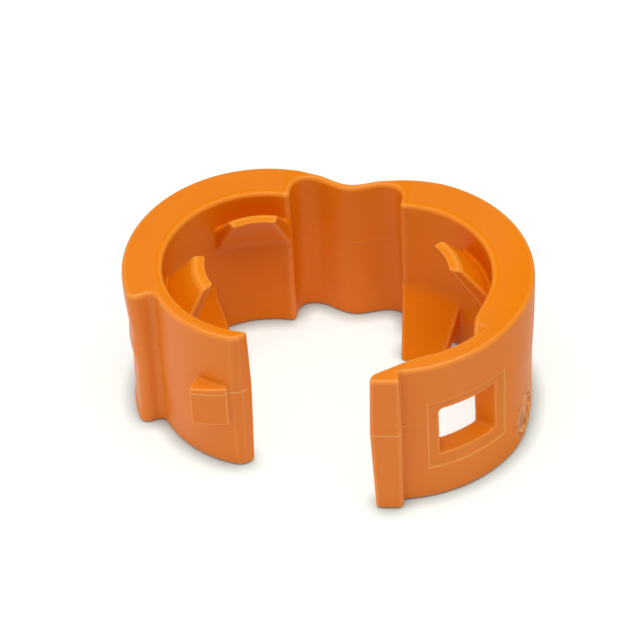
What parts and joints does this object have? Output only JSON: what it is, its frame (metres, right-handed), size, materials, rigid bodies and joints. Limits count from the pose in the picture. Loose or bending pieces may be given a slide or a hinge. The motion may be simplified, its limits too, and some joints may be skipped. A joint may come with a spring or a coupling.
{
  "type": "pipe coupling locking clip",
  "caption": "Hinged two-jaw plastic snap clip that closes round a pipe joint; thin back web, latch tooth on a tongue, windowed strap, leaning inner retainer teeth.",
  "frame": {"origin": "centre of the footprint of the open clip, on the plane it stands on", "axes": "+Z along the pipe, +Y towards the hinge web at the back, +X towards the jaw with the windowed strap"},
  "size_m": [0.0588, 0.0416, 0.0254],
  "materials": {
    "moulded_plastic": "semi-gloss orange moulded plastic"
  },
  "bodies": {
    "web": {"hinge_web": "moulded_plastic"},
    "left_leaf": {"left_web_leaf": "moulded_plastic"},
    "right_leaf": {"right_web_leaf": "moulded_plastic"},
    "left_jaw": {"left_hinge_root": "moulded_plastic", "left_wall": "moulded_plastic", "latch_tongue": "moulded_plastic", "latch_tooth": "moulded_plastic", "retainer_upper_left_rear": "moulded_plastic", "retainer_lower_left": "moulded_plastic", "retainer_upper_left_front": "moulded_plastic"},
    "right_jaw": {"right_hinge_root": "moulded_plastic", "right_wall": "moulded_plastic", "mark_disc": "moulded_plastic", "retainer_upper_right": "moulded_plastic", "retainer_lower_right_rear": "moulded_plastic"},
    "strap": {"latch_strap": "moulded_plastic", "thumb_lip": "moulded_plastic"}
  },
  "joints": [
    {"name": "right_web_fold", "type": "hinge", "parent": "web", "child": "right_leaf", "pos_m": [0.0028, 0.01892, 0.0127], "axis": [0, 0, -1], "range_deg": [0, 8], "stiffness_Nm_per_rad": 0.25},
    {"name": "left_web_fold", "type": "hinge", "parent": "web", "child": "left_leaf", "pos_m": [-0.0028, 0.01892, 0.0127], "axis": [0, 0, 1], "range_deg": [0, 8], "stiffness_Nm_per_rad": 0.25},
    {"name": "right_jaw_close", "type": "hinge", "parent": "right_leaf", "child": "right_jaw", "pos_m": [0.0064, 0.01968, 0.0127], "axis": [0, 0, -1], "range_deg": [-6, 20.4], "stiffness_Nm_per_rad": 0.15},
    {"name": "left_jaw_close", "type": "hinge", "parent": "left_leaf", "child": "left_jaw", "pos_m": [-0.0064, 0.01968, 0.0127], "axis": [0, 0, 1], "range_deg": [-6, 20.4], "stiffness_Nm_per_rad": 0.15},
    {"name": "strap_spring", "type": "hinge", "parent": "right_jaw", "child": "strap", "pos_m": [0.02548, -0.01, 0.0127], "axis": [0, 0, -1], "range_deg": [-11, 0], "stiffness_Nm_per_rad": 0.2}
  ],
  "couplings": [
    {"joint": "left_web_fold", "follows": "right_web_fold", "ratio": 1},
    {"joint": "left_jaw_close", "follows": "right_jaw_close", "ratio": 1}
  ]
}
